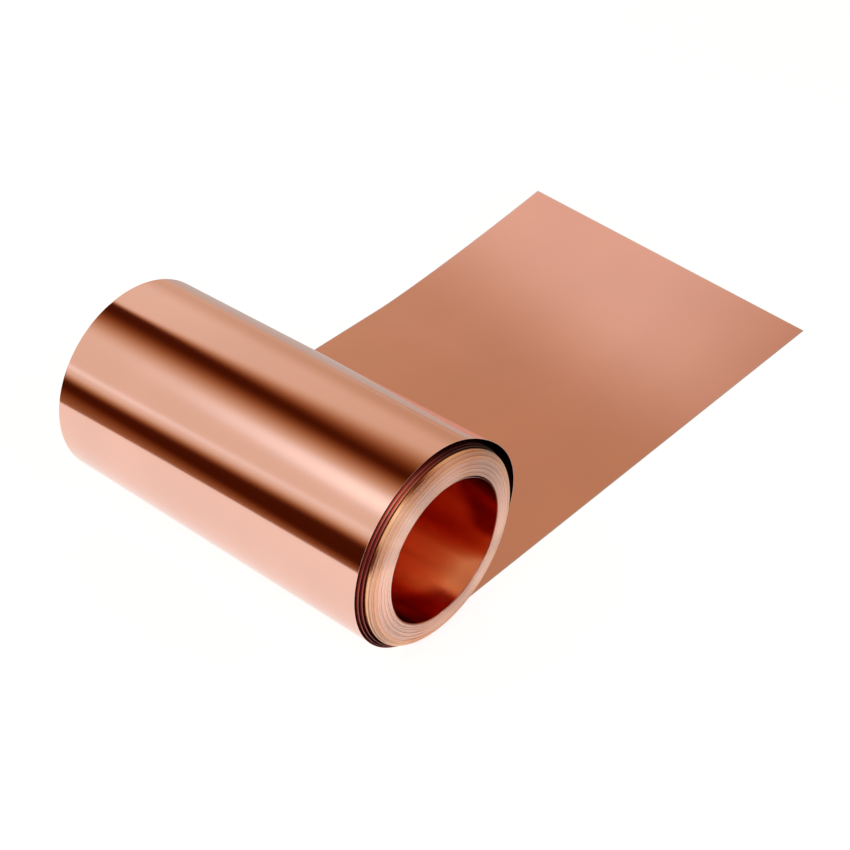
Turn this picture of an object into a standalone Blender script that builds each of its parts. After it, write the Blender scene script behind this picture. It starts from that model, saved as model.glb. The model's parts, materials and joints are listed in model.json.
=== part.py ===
"""Roll of wide, bare copper foil, partly unwound, with its free end lying on a table.

The real thing is one unbroken strip. It is built as the stretches of it that move on their own:
the flat lead, the free end, the outer wrap, two loose turns, the wound pack in three bundles, and
the first turn of the winding at the bore.
World frame: metres, +Z up, the roll's axis along Y, the strip leaving the roll towards +X. The
origin is on the table, under the middle of the whole object.
"""

import math

import bmesh
import bpy
import numpy as np
from mathutils import Vector

# Driving dimensions of the strip, in metres
FOIL_WIDTH = 0.200
FOIL_THICKNESS = 0.0002
LEAD_LENGTH = 0.339
FREE_END_LENGTH = 0.150
CORNER_LIFT = 0.0146

# Driving dimensions of the roll, in metres
ROLL_RADIUS = 0.0538
PACK_RADIUS = 0.0512
BORE_RADIUS = 0.0381
WRAP_BULGE = 0.008
LIP_LENGTH = 0.004
SEAM_GAP = 0.0004

# How far the turns have slid out of the roll along its axis, in metres
LOOSE_SLIDE = 0.00145
PACK_SLIDE = 0.0072
PACK_FIRST_SLIDE = 0.0044
CORE_SLIDE = 0.0064

# How far the centre of the winding moves, towards the lead and up or down, in metres
LOOSE_SHIFT = 0.00078
LOOSE_RISE = 0.00047
PACK_SHIFT = 0.0008
PACK_SINK = 0.0004

# Shapes: where in the turn the wrap's bulge starts and how sharply it stands out, how many turns
# the slope of the pack's end takes to fade, and how the corner curls
BULGE_START = 0.5
BULGE_POWER = 4
SLOPE_TURNS = 3
CURL_POWER = 1.4

# Counts of turns and of the points that draw each one
LOOSE_TURNS = 3
BUNDLE_TURNS = 6
BUNDLE_NAMES = ("pack_outer", "pack_middle", "pack_inner")
CORE_TURNS = 4 / 3
LOOSE_POINTS = 48
PACK_POINTS = 24
GAP_SAMPLES = 4

# Places worked out from them
PACK_TURNS = BUNDLE_TURNS * len(BUNDLE_NAMES) + CORE_TURNS
PACK_PITCH = (PACK_RADIUS - BORE_RADIUS - FOIL_THICKNESS) / PACK_TURNS
PACK_DRIFT = (PACK_SHIFT / PACK_TURNS, -PACK_SINK / PACK_TURNS)
LOOSE_PITCH = (ROLL_RADIUS - PACK_RADIUS) / LOOSE_TURNS
LOOSE_DRIFT = (LOOSE_SHIFT / LOOSE_TURNS, LOOSE_RISE / LOOSE_TURNS)
WRAP_LEFT_RADIUS = ROLL_RADIUS - (LOOSE_PITCH + LOOSE_DRIFT[0]) / 4
TANGENT_X = (WRAP_LEFT_RADIUS - LEAD_LENGTH) / 2
FOIL_NEAR_Y = (PACK_SLIDE - FOIL_WIDTH) / 2
FOIL_MIDDLE_Y = FOIL_NEAR_Y + FOIL_WIDTH / 2
FREE_LINE_X = TANGENT_X + LEAD_LENGTH - FREE_END_LENGTH
FREE_EDGE_X = TANGENT_X + LEAD_LENGTH
FOIL_MIDDLE_Z = FOIL_THICKNESS / 2
WRAP_CENTRE = Vector((TANGENT_X, FOIL_MIDDLE_Y, ROLL_RADIUS))
PACK_CENTRE = WRAP_CENTRE + Vector((LOOSE_SHIFT, 0, LOOSE_RISE))
HINGE_LINE = Vector((FREE_LINE_X, FOIL_MIDDLE_Y, FOIL_MIDDLE_Z))

# Copper as the foil shows it: a bright skin outside, a warmer and duller one among the turns
BRIGHT_COPPER = (0.87, 0.52, 0.43, 1.0)
SHADED_COPPER = (0.80, 0.42, 0.31, 1.0)
BRIGHT_ROUGHNESS = 0.22
SHADED_ROUGHNESS = 0.34


def clear_scene():
    """Remove every object that the file started with."""
    for item in list(bpy.data.objects):
        bpy.data.objects.remove(item, do_unlink=True)


def make_collection(name):
    """Add a collection for the parts to the scene."""
    collection = bpy.data.collections.new(name)
    bpy.context.scene.collection.children.link(collection)
    return collection


def copper(name, colour, roughness):
    """A plain metal material for one piece."""
    material = bpy.data.materials.new(name)
    material.use_nodes = True
    shader = material.node_tree.nodes["Principled BSDF"]
    shader.inputs["Base Color"].default_value = colour
    shader.inputs["Metallic"].default_value = 1.0
    shader.inputs["Roughness"].default_value = roughness
    return material


def add_foil(collection, name, mesh, origin, thickness, material):
    """Link an open surface as one piece of foil, thickened evenly to both sides."""
    piece = bpy.data.objects.new(name, mesh)
    piece.location = origin
    piece.data.materials.append(material)
    collection.objects.link(piece)
    mesh.shade_smooth()
    mesh.set_sharp_from_angle(angle=math.radians(40))
    solidify = piece.modifiers.new("foil", "SOLIDIFY")
    solidify.thickness = thickness
    solidify.offset = 0
    solidify.use_even_offset = True
    return piece


def spiral_points(first_turn, last_turn, points_per_turn, outer_radius, pitch, drift):
    """Points (x, z) of a spiral about its centre, from the bottom up the -X side and inwards.

    The turn number counts from the outer end. Each turn lies deeper by the pitch, and its centre
    moves on by the drift. Half a seam gap is left off both ends, so that stretches don't touch.
    """
    trim = SEAM_GAP / 2 / (2 * math.pi * outer_radius)
    steps = round((last_turn - first_turn) * points_per_turn)
    turns = np.linspace(first_turn, last_turn, steps + 1)
    turns[0] += trim
    turns[-1] -= trim
    angles = -math.pi / 2 - 2 * math.pi * turns
    radii = outer_radius - pitch * turns
    points = np.column_stack((radii * np.cos(angles), radii * np.sin(angles)))
    return turns, points + np.outer(turns, drift)


def wound_wall(name, near_points, far_points, near_edges):
    """The open surface that one stretch of strip makes between its near edge and its far edge."""
    form = bmesh.new()
    far_edges = near_edges + FOIL_WIDTH
    near = [form.verts.new((x, y, z)) for (x, z), y in zip(near_points, near_edges)]
    far = [form.verts.new((x, y, z)) for (x, z), y in zip(far_points, far_edges)]
    sides = [form.edges.new(pair) for row in (near, far) for pair in zip(row, row[1:])]
    bmesh.ops.bridge_loops(form, edges=sides)
    bmesh.ops.recalc_face_normals(form, faces=form.faces)
    mesh = bpy.data.meshes.new(name)
    form.to_mesh(mesh)
    form.free()
    return mesh


def bulge_wrap(turns, points):
    """The near edge of the outer wrap, sprung outwards on the +X side of the roll.

    The bulge grows smoothly from just past the top and is gone again at the bottom.
    """
    share = np.clip((turns - BULGE_START) / (1 - BULGE_START), 0, 1)
    growth = WRAP_BULGE * np.sin(math.pi * share) ** BULGE_POWER
    lengths = np.linalg.norm(points, axis=1)
    return points * (1 + growth / lengths)[:, None]


def least_gap(points, points_per_turn, thickness):
    """Least clear distance from a stretch of winding to itself, half a turn or more apart."""
    shares = np.arange(GAP_SAMPLES) / GAP_SAMPLES
    steps = points[1:] - points[:-1]
    samples = (points[:-1, None] + steps[:, None] * shares[None, :, None]).reshape(-1, 2)
    samples = np.vstack((samples, points[-1]))
    apart = np.linalg.norm(samples[:, None] - samples[None], axis=2)
    order = np.arange(len(samples))
    far_along = np.abs(order[:, None] - order[None]) > points_per_turn * GAP_SAMPLES // 2
    return apart[far_along].min() - thickness


def flat_foil(name, start_x, end_x, lift, origin, cuts):
    """A flat stretch of strip, whose far corner at its end may curl up off the table."""
    form = bmesh.new()
    bmesh.ops.create_grid(form, x_segments=cuts, y_segments=cuts, size=0.5)
    for corner in form.verts:
        along = corner.co.x + 0.5
        across = corner.co.y + 0.5
        corner.co.x = start_x + along * (end_x - start_x) - origin.x
        corner.co.y = FOIL_NEAR_Y + across * FOIL_WIDTH - origin.y
        corner.co.z = FOIL_MIDDLE_Z + lift * along**CURL_POWER * across - origin.z
    mesh = bpy.data.meshes.new(name)
    form.to_mesh(mesh)
    form.free()
    return mesh


def build_lead(collection):
    """The stretch that lies flat between the roll and the free end."""
    start_x = TANGENT_X + LIP_LENGTH + SEAM_GAP
    origin = Vector((TANGENT_X, FOIL_MIDDLE_Y, FOIL_MIDDLE_Z))
    end_x = FREE_LINE_X - SEAM_GAP / 2
    mesh = flat_foil("lead_sheet", start_x, end_x, 0, origin, cuts=1)
    skin = copper("lead_sheet_copper", BRIGHT_COPPER, BRIGHT_ROUGHNESS)
    add_foil(collection, "lead_sheet", mesh, origin, FOIL_THICKNESS, skin)


def build_free_end(collection):
    """The last stretch, which lifts about the line where it leaves the table."""
    start_x = FREE_LINE_X + SEAM_GAP / 2
    mesh = flat_foil("free_end", start_x, FREE_EDGE_X, CORNER_LIFT, HINGE_LINE, cuts=10)
    skin = copper("free_end_copper", BRIGHT_COPPER, BRIGHT_ROUGHNESS)
    add_foil(collection, "free_end", mesh, HINGE_LINE, FOIL_THICKNESS, skin)


def build_loose_turns(collection):
    """The outer wrap, with the flat lip where it leaves the roll, and the two loose turns in it."""
    names = ("outer_wrap", "loose_turn_outer", "loose_turn_inner")
    outer_radius = ROLL_RADIUS - FOIL_THICKNESS / 2
    for turn, name in enumerate(names):
        turns, points = spiral_points(
            turn, turn + 1, LOOSE_POINTS, outer_radius, LOOSE_PITCH, LOOSE_DRIFT
        )
        near_points = points
        if turn == 0:
            lip = ((LIP_LENGTH, -outer_radius), (0, -outer_radius))
            near_points = np.vstack((lip, bulge_wrap(turns, points)[1:]))
            points = np.vstack((lip, points[1:]))
        near_y = FOIL_NEAR_Y - FOIL_MIDDLE_Y - turn * LOOSE_SLIDE
        mesh = wound_wall(name, near_points, points, np.full(len(points), near_y))
        skin = copper(name + "_copper", BRIGHT_COPPER, BRIGHT_ROUGHNESS)
        add_foil(collection, name, mesh, WRAP_CENTRE, FOIL_THICKNESS, skin)
        gap = least_gap(points, LOOSE_POINTS, FOIL_THICKNESS)
        print(f"{name}: least gap to itself {gap * 1000:.3f} mm")


def build_pack(collection):
    """The wound pack in bundles, slid out of the roll, and the first turn at the bore."""
    outer_radius = PACK_RADIUS - FOIL_THICKNESS / 2
    near_y = FOIL_NEAR_Y - FOIL_MIDDLE_Y
    stretches = [
        (name, index * BUNDLE_TURNS, (index + 1) * BUNDLE_TURNS)
        for index, name in enumerate(BUNDLE_NAMES)
    ]
    stretches.append(("core_turn", PACK_TURNS - CORE_TURNS, PACK_TURNS))
    for name, first_turn, last_turn in stretches:
        turns, points = spiral_points(
            first_turn, last_turn, PACK_POINTS, outer_radius, PACK_PITCH, PACK_DRIFT
        )
        if name == "core_turn":
            slides = np.full(len(turns), CORE_SLIDE)
        else:
            slides = PACK_SLIDE - (PACK_SLIDE - PACK_FIRST_SLIDE) * np.exp(-turns / SLOPE_TURNS)
        mesh = wound_wall(name, points, points, near_y - slides)
        skin = copper(name + "_copper", SHADED_COPPER, SHADED_ROUGHNESS)
        add_foil(collection, name, mesh, PACK_CENTRE, FOIL_THICKNESS, skin)
        gap = least_gap(points, PACK_POINTS, FOIL_THICKNESS)
        print(f"{name}: least gap to itself {gap * 1000:.3f} mm")


def main():
    clear_scene()
    collection = make_collection("copper_foil_roll")
    build_lead(collection)
    build_free_end(collection)
    build_loose_turns(collection)
    build_pack(collection)


main()
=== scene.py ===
import json
import math

import bpy
import numpy as np
from mathutils import Matrix, Vector


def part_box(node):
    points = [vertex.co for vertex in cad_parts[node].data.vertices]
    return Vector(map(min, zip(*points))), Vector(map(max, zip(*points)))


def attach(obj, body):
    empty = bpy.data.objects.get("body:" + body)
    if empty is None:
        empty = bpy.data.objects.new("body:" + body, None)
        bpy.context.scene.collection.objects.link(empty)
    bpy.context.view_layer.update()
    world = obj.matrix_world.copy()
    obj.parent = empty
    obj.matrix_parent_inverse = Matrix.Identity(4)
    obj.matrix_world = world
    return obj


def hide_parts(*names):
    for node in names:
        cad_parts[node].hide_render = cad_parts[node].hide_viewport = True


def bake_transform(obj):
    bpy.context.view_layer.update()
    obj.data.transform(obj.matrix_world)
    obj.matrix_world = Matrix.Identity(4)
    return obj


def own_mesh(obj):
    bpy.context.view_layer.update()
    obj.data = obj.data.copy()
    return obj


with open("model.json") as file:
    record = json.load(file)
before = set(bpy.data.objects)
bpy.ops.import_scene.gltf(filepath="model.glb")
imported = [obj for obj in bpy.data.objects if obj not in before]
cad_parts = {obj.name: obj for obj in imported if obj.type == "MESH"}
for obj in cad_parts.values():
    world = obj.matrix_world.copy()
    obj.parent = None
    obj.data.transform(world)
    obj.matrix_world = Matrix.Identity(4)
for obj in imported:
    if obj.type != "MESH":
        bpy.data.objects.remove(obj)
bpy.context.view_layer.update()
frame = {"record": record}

joints = {joint["name"]: joint for joint in frame["record"]["behaviour"]["joints"]}

# The camera looks down on the open end of the roll from its left, through a short telephoto lens,
# and is tilted by a degree or so, as the photograph is.
camera_azimuth = math.radians(-50.08)
camera_elevation = math.radians(37.815)
camera_tilt = math.radians(1.344)
camera_distance = 1.0472
camera_lens_mm = 81.73
aim_past_tangent = 0.1128
aim_height = 0.0079
pack_past_tangent = 0.00078
pack_centre_x, foil_middle_y, pack_centre_z = joints["pack_turn"]["pos_m"]
tangent_x = pack_centre_x - pack_past_tangent
aim = Vector((tangent_x + aim_past_tangent, foil_middle_y, aim_height))
back = Vector((
    math.sin(camera_azimuth) * math.cos(camera_elevation),
    -math.cos(camera_azimuth) * math.cos(camera_elevation),
    math.sin(camera_elevation),
))
level_right = Vector((0, 0, 1)).cross(back).normalized()
level_up = back.cross(level_right)
right = math.cos(camera_tilt) * level_right + math.sin(camera_tilt) * level_up
up = back.cross(right)
camera_data = bpy.data.cameras.new("camera")
camera_data.lens = camera_lens_mm
camera = bpy.data.objects.new("camera", camera_data)
camera_turn = Matrix((right, up, back)).transposed().to_4x4()
camera.matrix_world = Matrix.Translation(aim + back * camera_distance) @ camera_turn
bpy.context.collection.objects.link(camera)
bpy.context.scene.camera = camera

# The lead is the flat run of strip between the roll and the free end. It is bare rolled copper, slit
# to width, and its upper face is the one that was wound inwards, which is duller than the outer one.
foil_width = 0.200
foil_thickness = 0.0002
foil_near_y = foil_middle_y - foil_width / 2
free_line_x = joints["free_end_lift"]["pos_m"][0]
free_edge_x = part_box("free_end")[1][0]
lip_length = 0.004
lip_end_x = tangent_x + lip_length
lead_rows = 60
sheet_columns = 24
edge_points = 5
edge_step = 0.0004
sharp_angle = math.radians(40)
slit_burr = 0.0006
outer_copper = (0.88, 0.53, 0.43)
dull_face = (0.66, 0.31, 0.20), 0.20
slit_copper = (0.55, 0.45, 0.40)


def strip_outline(columns):
    """The closed outline of the strip's cross section: its place across, its side and its push.

    One face runs from the near edge to the far one, the far edge turns through half a circle, the
    other face runs back, and the near edge turns in the same way. Side is 1 on the face that was
    wound inwards and -1 on the outer face, and push is the way that the round of an edge stands out.
    """
    beside = edge_step / foil_width
    face = np.concatenate((
        [0, beside, 4 * beside], np.linspace(0, 1, columns)[1:-1], [1 - 4 * beside, 1 - beside, 1],
    ))
    flat = np.ones(len(face))
    turn = np.linspace(math.pi / 2, -math.pi / 2, edge_points + 2)[1:-1]
    across = np.concatenate((face, np.ones(edge_points), face[::-1], np.zeros(edge_points)))
    side = np.concatenate((flat, np.sin(turn), -flat, -np.sin(turn)))
    push = np.concatenate((0 * flat, np.cos(turn), 0 * flat, -np.cos(turn)))
    return across, side, push


def strip_mesh(name, near_path, far_path, near_y, start, columns):
    """Carry the strip's outline along two paths of (x, z) points, one at each edge of the strip.

    A point on the middle of the strip lies on the straight line between its two paths, at its share
    of the width. It is moved along the normal by half the thickness times its side. The UV map holds
    the length along the strip, counted from the free edge, and the distance across it.
    """
    across, side, push = strip_outline(columns)
    share = across[:, None]
    middle = near_path[:, None] * (1 - share) + far_path[:, None] * share
    step = np.gradient(middle, axis=0)
    step /= np.linalg.norm(step, axis=2, keepdims=True)
    half = foil_thickness / 2
    x = middle[..., 0] + step[..., 1] * side * half
    y = near_y[:, None] + foil_width * across + push * half
    z = middle[..., 1] - step[..., 0] * side * half
    rows, count = x.shape
    points = np.stack((x, y, z), axis=-1).reshape(-1, 3)
    row, column = np.meshgrid(np.arange(rows - 1) * count, np.arange(count), indexing="ij")
    following = (column + 1) % count
    quads = np.stack((
        row + column, row + following, row + count + following, row + count + column,
    ), axis=-1).reshape(-1, 4)
    caps = [np.arange(count)[::-1].tolist(), np.arange((rows - 1) * count, rows * count).tolist()]
    mesh = bpy.data.meshes.new(name)
    mesh.from_pydata(points.tolist(), [], quads.tolist() + caps)
    mesh.shade_smooth()
    mesh.set_sharp_from_angle(angle=sharp_angle)
    lengths = np.linalg.norm(np.diff(far_path, axis=0), axis=1)
    along = start + np.concatenate(([0], np.cumsum(lengths)))
    strip = np.stack(np.broadcast_arrays(along[:, None], across * foil_width), axis=-1).reshape(-1, 2)
    corner = np.empty(len(mesh.loops), np.int32)
    mesh.loops.foreach_get("vertex_index", corner)
    uv = mesh.uv_layers.new(name="strip")
    uv.uv.foreach_set("vector", strip[corner].astype(np.float32).ravel())
    inward = mesh.attributes.new("inward", "FLOAT", "POINT")
    inward.data.foreach_set("value", np.tile((1 + side) / 2, rows).astype(np.float32))
    mesh.update()
    return mesh


def add_node(tree, kind, inputs, **settings):
    """Add a shader node with its settings, and set or link its inputs."""
    node = tree.nodes.new(kind)
    for key, value in settings.items():
        setattr(node, key, value)
    for key, value in inputs.items():
        if isinstance(value, bpy.types.NodeSocket):
            tree.links.new(value, node.inputs[key])
        else:
            node.inputs[key].default_value = value
    return node


def foil_copper(name, outer_face, inner_face, edge_colour, burr, metallic=1.0, light_painted=False):
    """Rolled copper with a (colour, roughness) for each face, and a slit edge of another colour.

    Fine rolling lines run along the strip and faint chatter lies across it. A broad tarnish varies
    the colour, and the edge colour covers the last bit of the width, which the slitter smeared. On
    foil with painted light, the colour is also multiplied by the painted light and shade that its mesh
    holds.
    """
    material = bpy.data.materials.new(name)
    material.use_nodes = True
    tree = material.node_tree
    shader = tree.nodes["Principled BSDF"]
    shader.inputs["Metallic"].default_value = metallic
    strip = add_node(tree, "ShaderNodeUVMap", {}, uv_map="strip").outputs["UV"]
    place = add_node(tree, "ShaderNodeSeparateXYZ", {"Vector": strip})
    inward = add_node(tree, "ShaderNodeAttribute", {}, attribute_name="inward").outputs["Fac"]

    def grain(along_scale, across_scale, detail):
        """Noise with so many waves in a metre along the strip and across it."""
        stretched = add_node(
            tree, "ShaderNodeMapping", {"Vector": strip, "Scale": (along_scale, across_scale, 1)}
        )
        return add_node(
            tree, "ShaderNodeTexNoise",
            {"Vector": stretched.outputs["Vector"], "Scale": 1.0, "Detail": detail},
            noise_dimensions="2D",
        ).outputs["Fac"]

    def spread(value, low, high, to_low, to_high):
        """Carry a value from one range to another, and hold it at the ends."""
        return add_node(
            tree, "ShaderNodeMapRange",
            {"Value": value, "From Min": low, "From Max": high, "To Min": to_low, "To Max": to_high},
        ).outputs["Result"]

    def figure(operation, first, second):
        """The result of an operation on two values."""
        return add_node(
            tree, "ShaderNodeMath", {0: first, 1: second}, operation=operation
        ).outputs["Value"]

    def blend(share, first, second):
        """A mix of two colours, with the share of the second."""
        return add_node(
            tree, "ShaderNodeMix", {"Factor": share, "A": first, "B": second}, data_type="RGBA"
        ).outputs["Result"]

    rolling = grain(7, 2200, 3)
    chatter = grain(380, 6, 2)
    tarnish = grain(15, 21, 4)
    (outer_colour, outer_roughness), (inner_colour, inner_roughness) = outer_face, inner_face
    faces = blend(inward, (*outer_colour, 1), (*inner_colour, 1))
    toned = add_node(
        tree, "ShaderNodeVectorMath",
        {"Vector": faces, "Scale": spread(tarnish, 0.3, 0.7, 0.975, 1.02)}, operation="SCALE",
    ).outputs["Vector"]
    off_middle = figure("SUBTRACT", place.outputs["Y"], foil_width / 2)
    reach = add_node(tree, "ShaderNodeMath", {0: off_middle}, operation="ABSOLUTE").outputs["Value"]
    slit_side = spread(reach, foil_width / 2 - burr, foil_width / 2 - burr / 3, 0, 1)
    slit_end = spread(place.outputs["X"], burr / 3, burr, 1, 0)
    slit = figure("MAXIMUM", slit_side, slit_end)
    colour = blend(slit, toned, (*edge_colour, 1))
    # Painted light and shade from the mesh multiply the colour here.
    if light_painted:
        stain = add_node(tree, "ShaderNodeAttribute", {}, attribute_name="stain").outputs["Color"]
        colour = add_node(
            tree, "ShaderNodeVectorMath", {0: colour, 1: stain}, operation="MULTIPLY"
        ).outputs["Vector"]
    tree.links.new(colour, shader.inputs["Base Color"])
    gloss = spread(inward, 0, 1, outer_roughness, inner_roughness)
    worn = figure("MULTIPLY", gloss, spread(rolling, 0.25, 0.75, 0.88, 1.14))
    tree.links.new(worn, shader.inputs["Roughness"])
    ridges = add_node(
        tree, "ShaderNodeBump", {"Strength": 0.2, "Distance": 0.000003, "Height": rolling}
    )
    ripples = add_node(
        tree, "ShaderNodeBump",
        {"Strength": 0.2, "Distance": 0.00001, "Height": chatter, "Normal": ridges.outputs["Normal"]},
    )
    tree.links.new(ripples.outputs["Normal"], shader.inputs["Normal"])
    return material


def add_piece(mesh, material, node, body=None):
    """Put a finished stretch of strip in the scene in place of a solid, on the body that it rides on."""
    mesh.materials.append(material)
    piece = bpy.data.objects.new(mesh.name, mesh)
    bpy.context.collection.objects.link(piece)
    if body:
        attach(piece, body)
    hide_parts(node)
    return piece


def table_path(start_x, end_x, count):
    """Evenly spaced points along the table, half the foil's thickness above it."""
    return np.column_stack((np.linspace(start_x, end_x, count), np.full(count, foil_thickness / 2)))


sheet_copper = foil_copper(
    "sheet_copper", (outer_copper, 0.10), dull_face, slit_copper, slit_burr
)
lead_path = table_path(free_line_x, lip_end_x, lead_rows)
lead_mesh = strip_mesh(
    "lead_foil", lead_path, lead_path, np.full(lead_rows, foil_near_y), free_edge_x - free_line_x,
    sheet_columns,
)
lead = add_piece(lead_mesh, sheet_copper, "lead_sheet", "lead")
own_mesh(lead)

# The free end is the last stretch of the strip, cut square across. It lies on the table, and its far
# corner keeps a slight curl from the roll.
corner_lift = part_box("free_end")[1][2] - foil_thickness
curl_power = 1.4
end_rows = 121
end_path = table_path(free_edge_x, free_line_x, end_rows)
curl = np.linspace(1, 0, end_rows) ** curl_power
curled_path = end_path + np.column_stack((0 * curl, corner_lift * curl))
end_mesh = strip_mesh(
    "free_end_foil", end_path, curled_path, np.full(end_rows, foil_near_y), 0, sheet_columns
)
free_end = add_piece(end_mesh, sheet_copper, "free_end")
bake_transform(free_end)

# The outer wrap is the outermost turn. It leaves the roll at the bottom in a flat lip, and its near
# edge has sprung out on the side of the lead. Two loose turns in it have slid out a little.
# Their dark red colour is painted shade, darkest where the wrap stands off them, and a painted
# highlight brightens them next to that.
roll_radius = 0.0538
pack_radius = 0.0512
loose_turns = 3
loose_pitch = (roll_radius - pack_radius) / loose_turns
loose_shift = (pack_centre_x - tangent_x) / loose_turns
loose_rise = (pack_centre_z - roll_radius) / loose_turns
loose_slide = 0.00145
slide_start = 0.75
wrap_bulge = 0.008
bulge_power = 4
wrap_crown = 0.0014
crown_turn = 0.53
crown_width = 0.09
loose_shade = 0.8
shade_start = 0.46, 0.53
shade_end = 0.85, 0.95
highlight_turn = 0.42
highlight_width = 0.035
highlight_tint = 1.1, 3.2, 2.6
fine_burr = 0.0002
loose_burr = 0.0003
loose_rows = 241
loose_columns = 16
lip_rows = 8


def spiral_path(turns, radius, centre_x, centre_z):
    """Points of a spiral that starts at the bottom, climbs the -X side and winds inwards.

    The angle is a quarter turn below level, less the turns so far, about the centre of each turn.
    """
    angle = -math.pi / 2 - 2 * math.pi * turns
    return np.column_stack((centre_x + radius * np.cos(angle), centre_z + radius * np.sin(angle)))


def fade(value, start, end):
    """A smooth step from 0 at the start to 1 at the end: three squares less two cubes of the share."""
    share = np.clip((value - start) / (end - start), 0, 1)
    return share * share * (3 - 2 * share)


def swell(value, middle, width):
    """A smooth hump of height 1: the exponential of minus the squared distance in widths."""
    return np.exp(-((value - middle) / width) ** 2)


def add_painted_light(mesh, red, green, blue):
    """Store at each point of a mesh the painted light and shade, a colour that multiplies the foil's
    colour.
    """
    colour = np.stack(np.broadcast_arrays(red, green, blue, 1.0), axis=-1)
    stain = mesh.attributes.new("stain", "FLOAT_COLOR", "POINT")
    stain.data.foreach_set("color", colour.astype(np.float32).ravel())


wrap_copper = foil_copper(
    "wrap_copper", (outer_copper, 0.09), dull_face, (0.92, 0.62, 0.52), fine_burr
)
# The dark red faces and edges of the loose turns are painted shade.
painted_shade_face = (0.46, 0.045, 0.03), 0.35
loose_copper = foil_copper(
    "loose_copper", painted_shade_face, painted_shade_face, (0.36, 0.13, 0.12), loose_burr, metallic=0.7,
    light_painted=True,
)
strip_length = free_edge_x - lip_end_x
loose_finish = {
    "outer_wrap": wrap_copper, "loose_turn_outer": loose_copper, "loose_turn_inner": loose_copper,
}
for turn, (node, finish) in enumerate(loose_finish.items()):
    turns = np.linspace(turn, turn + 1, loose_rows)
    radius = roll_radius - foil_thickness / 2 - loose_pitch * turns
    centre = tangent_x + loose_shift * turns, roll_radius + loose_rise * turns
    far_path = spiral_path(turns, radius, *centre)
    near_path = far_path
    near_y = foil_near_y - loose_slide * (turn + fade(turns, turn + slide_start, turn + 1))
    if node == "outer_wrap":
        bulge = wrap_bulge * np.sin(2 * math.pi * np.clip(turns, 0.5, 1)) ** bulge_power
        bulge += wrap_crown * swell(turns, crown_turn, crown_width)
        lip_path = table_path(lip_end_x, tangent_x, lip_rows)
        near_path = np.vstack((lip_path, spiral_path(turns, radius + bulge, *centre)[1:]))
        far_path = np.vstack((lip_path, far_path[1:]))
        near_y = np.concatenate((np.full(lip_rows, foil_near_y), near_y[1:]))
    mesh = strip_mesh(node + "_foil", near_path, far_path, near_y, strip_length, loose_columns)
    if finish == loose_copper:
        # Painted shade darkens each loose turn over part of its turn, and a painted highlight brightens it
        # just before that.
        share = np.tile((turns - turn)[:, None], len(strip_outline(loose_columns)[0]))
        dark = loose_shade * fade(share, *shade_start) * (1 - fade(share, *shade_end))
        painted_highlight = swell(share, highlight_turn, highlight_width)
        add_painted_light(mesh, *(1 - dark + tint * painted_highlight for tint in highlight_tint))
    add_piece(mesh, finish, node, "roll")
    strip_length += np.linalg.norm(np.diff(far_path, axis=0), axis=1).sum()

# The pack is the tight winding. Its turns have slid out of the roll one past the other, so its end
# stands out and slopes, and here and there two turns lie apart. The slope's golden colour is painted
# light, for the light that its stepped turns reflect onto each other.
bore_radius = 0.0381
wound_depth = pack_radius - bore_radius - foil_thickness
pack_gap = 0.0002
core_layers = 0.0004
bundles = 3
bundle_depth = (wound_depth - pack_gap - core_layers) / bundles
pack_turns = 16
rows_per_turn = 120
pack_rows = rows_per_turn * pack_turns + 1
pack_columns = 4
tight_step = 0.00022
gap_power = 6
pack_shift = 0.0008
pack_sink = 0.0004
pack_slide = 0.0072
pack_first_slide = 0.0044
slope_depth = 0.0020
edge_wander = 0.00015
chance = np.random.default_rng(7)
# The slope's golden colour is painted light.
slope_copper = foil_copper(
    "slope_copper", ((0.94, 0.52, 0.26), 0.24), dull_face, (0.96, 0.64, 0.46), fine_burr
)
pack_copper = foil_copper(
    "pack_copper", (outer_copper, 0.14), dull_face, (0.98, 0.70, 0.58), fine_burr
)
pack_pieces = {
    "pack_outer": ("pack", slope_copper),
    "pack_middle": ("pack_middle", pack_copper),
    "pack_inner": ("pack_inner", pack_copper),
}


def pack_path(turns, depth):
    """A spiral at a depth under the outside of the pack, whose centre shifts in step with the depth."""
    centre_x = pack_centre_x + pack_shift * depth / wound_depth
    centre_z = pack_centre_z - pack_sink * depth / wound_depth
    return spiral_path(turns, pack_radius - foil_thickness / 2 - depth, centre_x, centre_z)


for index, (node, (body, finish)) in enumerate(pack_pieces.items()):
    loose_share = chance.random(pack_turns) ** gap_power
    gaps = loose_share / loose_share.sum() * (bundle_depth - pack_turns * tight_step)
    wound = np.arange(pack_turns + 1)
    turns = np.linspace(0, pack_turns, pack_rows)
    depth = np.interp(turns, wound, np.concatenate(([0], np.cumsum(gaps + tight_step))))
    depth += pack_gap + index * bundle_depth
    wander = np.interp(turns, wound, chance.normal(0, edge_wander, pack_turns + 1))
    path = pack_path(turns, depth)
    slope = np.exp(-depth / slope_depth)
    near_y = foil_near_y - pack_slide + (pack_slide - pack_first_slide) * slope + wander
    mesh = strip_mesh(node + "_foil", path, path, near_y, strip_length, pack_columns)
    add_piece(mesh, finish, node, body)
    strip_length += np.linalg.norm(np.diff(path, axis=0), axis=1).sum()

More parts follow.
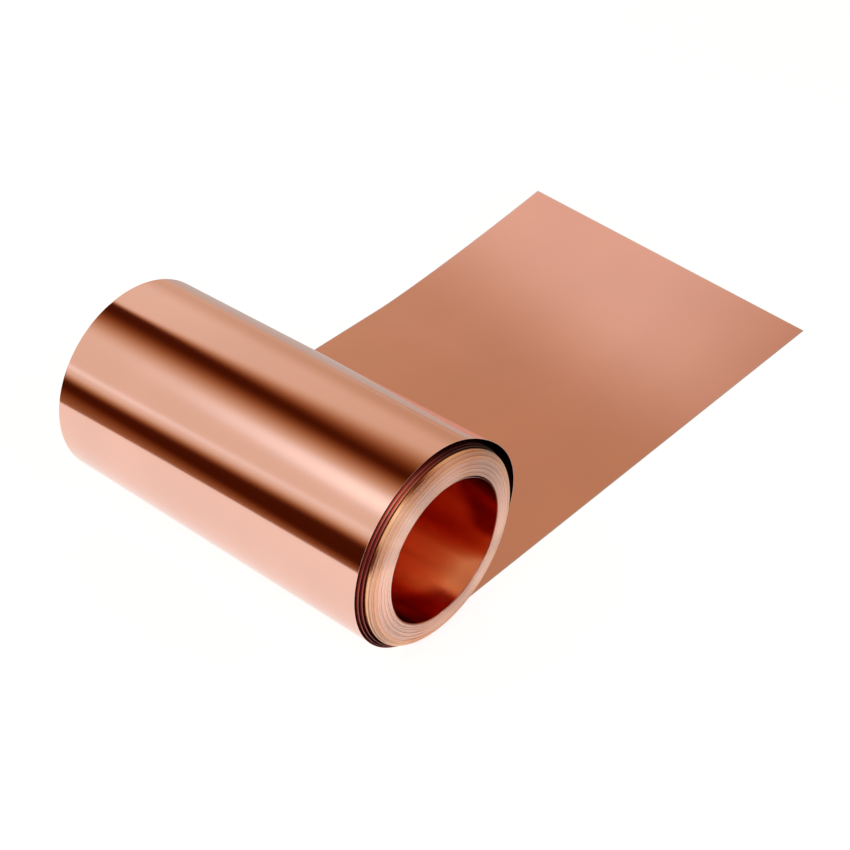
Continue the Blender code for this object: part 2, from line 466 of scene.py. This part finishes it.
# The first turn of the winding is the wall of the bore. It was wound on a mandrel that is gone, and
# its upper right part has come away from the pack a little. Near its mouth the lower right of the
# wall has painted shade in two dark bands, with a painted bright band between them and painted light
# near the rim.
core_turns = 4 / 3
core_slide = 0.0071
core_rows = 241
core_columns = 60
core_stand_off = 0.0008
stand_off_turn = 0.6
stand_off_width = 0.08
painted_shade_floor = 0.30
painted_depth_end = 0.044
painted_depth_fade = 0.010
painted_middle_angle = -50
painted_side_angles = 95, 115
green_shade_power = 3.6
blue_shade_power = 5
rim_gain = 0.36
rim_reach = 0.012
band_start = -101, -79
band_end = -51, -33
band_gain = 0.18
band_rim_gain = 0.68
band_reach = 0.018
streak_gain = 0.15
streak_angle = -12
streak_width = 12
unpainted_wall = 1.08
bore_face = (0.92, 0.60, 0.45), 0.15
bore_copper = foil_copper(
    "bore_copper", (outer_copper, 0.14), bore_face, (0.92, 0.64, 0.54), fine_burr, light_painted=True
)
core_turn = np.linspace(0, core_turns, core_rows)
core_depth = np.linspace(wound_depth - core_layers, wound_depth, core_rows)
stand_off = core_stand_off * swell(core_turn, stand_off_turn, stand_off_width)
core_path = pack_path(core_turn, core_depth + stand_off)
core_near_y = np.full(core_rows, foil_near_y - core_slide)
core_mesh = strip_mesh("core_turn_foil", core_path, core_path, core_near_y, strip_length, core_columns)

# Where the light is painted is set by the place on the wall: by its angle in degrees, which is 0 on
# the +X side and grows upwards, and by its distance in from the near edge. The painted shade is
# redder where it is darker.
core_across = strip_outline(core_columns)[0] * foil_width
core_angle = (90 - 360 * core_turn[:, None]) % 360 - 180
painted_bright_band = fade(core_angle, *band_start) * (1 - fade(core_angle, *band_end))
painted_brightness = painted_shade_floor + rim_gain * np.exp(-core_across / rim_reach)
painted_brightness = painted_brightness + painted_bright_band * (band_gain + band_rim_gain * np.exp(-core_across / band_reach))
painted_brightness = np.minimum(painted_brightness + streak_gain * swell(core_angle, streak_angle, streak_width), unpainted_wall)
light_painted = 1 - fade(core_across, painted_depth_end, painted_depth_end + painted_depth_fade)
light_painted = light_painted * (1 - fade(np.abs(core_angle - painted_middle_angle), *painted_side_angles))
painted_brightness = unpainted_wall + (painted_brightness - unpainted_wall) * light_painted
add_painted_light(core_mesh, painted_brightness, painted_brightness**green_shade_power, painted_brightness**blue_shade_power)
add_piece(core_mesh, bore_copper, "core_turn", "core_turn")

# Light reaches the inside of the bore only by many reflections.
bpy.context.scene.cycles.glossy_bounces = 12

# The studio is a pale table under a light tent that arches along the roll. A panel of it glows on
# each side, with a dark slot overhead. A dark cloth lies on the table beyond the roll, away from the
# lead, and a clear veil over the free end adds a cool glow.
tent_radius = 1.0
tent_near_y = 0.48
tent_far_y = 0.88
tent_shade = 0.06
studio_y = np.linspace(-0.8, 2.2, 61)


def warm_light(strength):
    """The colour of light of a strength: weaker light is warmer.

    Green falls with the strength's power 1.7, and blue with its power 2.4.
    """
    green_fall = 0.7
    blue_fall = 1.4
    warm = np.minimum(strength, 1)
    return np.stack((strength, strength * warm**green_fall, strength * warm**blue_fall), axis=-1)


def lit_surface(name, x, y, z, light, clear=False):
    """A surface through a grid of points, which glows with the light given at each of them."""
    rows, count = x.shape
    points = np.stack((x, y, z), axis=-1).reshape(-1, 3)
    row, column = np.meshgrid(np.arange(rows - 1) * count, np.arange(count - 1), indexing="ij")
    corner = row + column
    quads = np.stack((corner, corner + 1, corner + count + 1, corner + count), axis=-1).reshape(-1, 4)
    mesh = bpy.data.meshes.new(name)
    mesh.from_pydata(points.tolist(), [], quads.tolist())
    colour = mesh.attributes.new("glow", "FLOAT_COLOR", "POINT")
    glow_colour = np.concatenate((light.reshape(-1, 3), np.ones((len(points), 1))), axis=1)
    colour.data.foreach_set("color", glow_colour.astype(np.float32).ravel())
    material = bpy.data.materials.new(name + "_glow")
    material.use_nodes = True
    tree = material.node_tree
    tree.nodes.clear()
    glow = add_node(tree, "ShaderNodeAttribute", {}, attribute_name="glow").outputs["Color"]
    surface = add_node(tree, "ShaderNodeEmission", {"Color": glow, "Strength": 1.0}).outputs["Emission"]
    if clear:
        through = add_node(tree, "ShaderNodeBsdfTransparent", {}).outputs["BSDF"]
        surface = add_node(tree, "ShaderNodeAddShader", {0: surface, 1: through}).outputs["Shader"]
    add_node(tree, "ShaderNodeOutputMaterial", {"Surface": surface})
    mesh.materials.append(material)
    item = bpy.data.objects.new(name, mesh)
    item.visible_camera = False
    item.visible_shadow = False
    bpy.context.collection.objects.link(item)
    return item


# The tent's angle is in degrees, from its foot on the +X side over the top to its other foot. Deep is
# 0 where the near end of the roll mirrors the tent, and 1 where the far end does.
tent_angle, tent_y = np.meshgrid(np.linspace(-3, 183, 373), studio_y, indexing="ij")
deep = np.clip((tent_y - tent_near_y) / (tent_far_y - tent_near_y), 0, 1)
right_glow = 0.53 + 0.11 * deep + 0.15 * fade(tent_angle, 10, 38)
right_top = 47 + 25 * deep, 90 - 12 * deep
right_panel = right_glow * (1 - fade(tent_angle, *right_top))
left_glow = 0.78
left_top = 88 - 4 * deep, 119 + 2 * deep
left_foot = 153 + 13 * deep, 168 + 11 * deep
left_panel = left_glow * fade(tent_angle, *left_top) * (1 - fade(tent_angle, *left_foot))
lamp_glow = 0.5 * (1 - deep) ** 1.5 * swell(tent_angle, 123, 8)
panel_rim = (0.1 + 0.1 * deep) * swell(tent_angle, 150 + 11 * deep, 3)
tent_reach = np.radians(tent_angle)
lit_surface(
    "light_tent",
    tangent_x + tent_radius * np.cos(tent_reach), tent_y, roll_radius + tent_radius * np.sin(tent_reach),
    warm_light(tent_shade + right_panel + left_panel + lamp_glow + panel_rim),
)

# The cloth lies at a slant to the roll, and grows darker with the distance beyond its edge.
cloth_edge_x = -0.32
cloth_edge_y = 0.083
cloth_slant = 0.91
cloth_height = 0.0005
cloth_shade = 0.05
cloth_beyond, cloth_y = np.meshgrid(np.linspace(0, 2.0, 201), studio_y, indexing="ij")
cloth_x = tangent_x + cloth_edge_x + cloth_slant * (cloth_y - foil_middle_y - cloth_edge_y)
cloth_glow = 0.3 * np.exp(-cloth_beyond / 0.35)
cloth_hem = 0.05 * np.exp(-cloth_beyond / 0.01)
dark_cloth = lit_surface(
    "dark_cloth", cloth_x - cloth_beyond, cloth_y, 0 * cloth_y + cloth_height,
    warm_light(cloth_shade + cloth_glow + cloth_hem),
)
dark_cloth.visible_diffuse = False

# The veil glows in its middle, and fades to nothing at its edges.
veil_height = 0.10
veil_colour = np.array((0.40, 0.56, 0.80))
veil_left = 0.29, 0.375
veil_right = 0.55, 0.75
veil_near = -0.12, 0.06
veil_far = 0.28, 0.45
veil_x, veil_y = np.meshgrid(np.linspace(0.27, 0.75, 97), np.linspace(-0.12, 0.45, 58), indexing="ij")
veil_glow = fade(veil_x, *veil_left) * (1 - fade(veil_x, *veil_right))
veil_glow = veil_glow * fade(veil_y, *veil_near) * (1 - fade(veil_y, *veil_far))
veil = lit_surface(
    "veil", tangent_x + veil_x, veil_y, 0 * veil_y + veil_height,
    veil_glow[..., None] * veil_colour, clear=True,
)
veil.visible_diffuse = False

# The table is white to the camera. In the foil's reflections it is brighter beyond the roll than on
# the side of the lead, where it is darkened by painted shade.
floor_reach = 4
floor_drop = 0.0002
floor_white = 0.85
mirrored_beyond = 0.79
# Painted shade: in reflections the table is dimmer on the side of the lead.
painted_shade_by_lead = 0.36
floor_corners = floor_reach * np.array(((-1, -1), (1, -1), (1, 1), (-1, 1)))
floor_points = np.column_stack((floor_corners, np.full(len(floor_corners), -floor_drop)))
floor_mesh = bpy.data.meshes.new("floor")
floor_mesh.from_pydata(floor_points.tolist(), [], [(0, 1, 2, 3)])
floor = bpy.data.objects.new("floor", floor_mesh)
bpy.context.collection.objects.link(floor)
table_paint = bpy.data.materials.new("table_paint")
table_paint.use_nodes = True
table_tree = table_paint.node_tree
table_shader = table_tree.nodes["Principled BSDF"]
table_shader.inputs["Base Color"].default_value = (0.35, 0.35, 0.35, 1)
table_shader.inputs["Roughness"].default_value = 0.9
table_shader.inputs["Specular IOR Level"].default_value = 0.0
table_shader.inputs["Emission Color"].default_value = (1, 1, 1, 1)
ray = add_node(table_tree, "ShaderNodeLightPath", {}).outputs
place = add_node(table_tree, "ShaderNodeTexCoord", {}).outputs["Object"]
place_x = add_node(table_tree, "ShaderNodeSeparateXYZ", {"Vector": place}).outputs["X"]
mirrored = add_node(
    table_tree, "ShaderNodeMapRange",
    {
        "Value": place_x, "From Min": -0.15, "From Max": -0.05,
        "To Min": mirrored_beyond, "To Max": painted_shade_by_lead,
    },
).outputs["Result"]
mirrored = add_node(
    table_tree, "ShaderNodeMath", {0: ray["Is Glossy Ray"], 1: mirrored}, operation="MULTIPLY"
).outputs["Value"]
white = add_node(
    table_tree, "ShaderNodeMath",
    {0: ray["Is Camera Ray"], 1: floor_white, 2: mirrored}, operation="MULTIPLY_ADD",
).outputs["Value"]
table_tree.links.new(white, table_shader.inputs["Emission Strength"])
floor_mesh.materials.append(table_paint)

# The sky is white to the camera, and a little weaker as a light.
sky_light = 0.75
sky_white = 1.0
world = bpy.data.worlds.new("studio")
world.use_nodes = True
bpy.context.scene.world = world
sky_ray = add_node(world.node_tree, "ShaderNodeLightPath", {}).outputs["Is Camera Ray"]
sky_strength = add_node(
    world.node_tree, "ShaderNodeMapRange", {"Value": sky_ray, "To Min": sky_light, "To Max": sky_white}
).outputs["Result"]
sky = world.node_tree.nodes["Background"]
sky.inputs["Color"].default_value = (1.0, 1.0, 1.0, 1)
world.node_tree.links.new(sky_strength, sky.inputs["Strength"])

bpy.context.scene.view_settings.view_transform = "Standard"
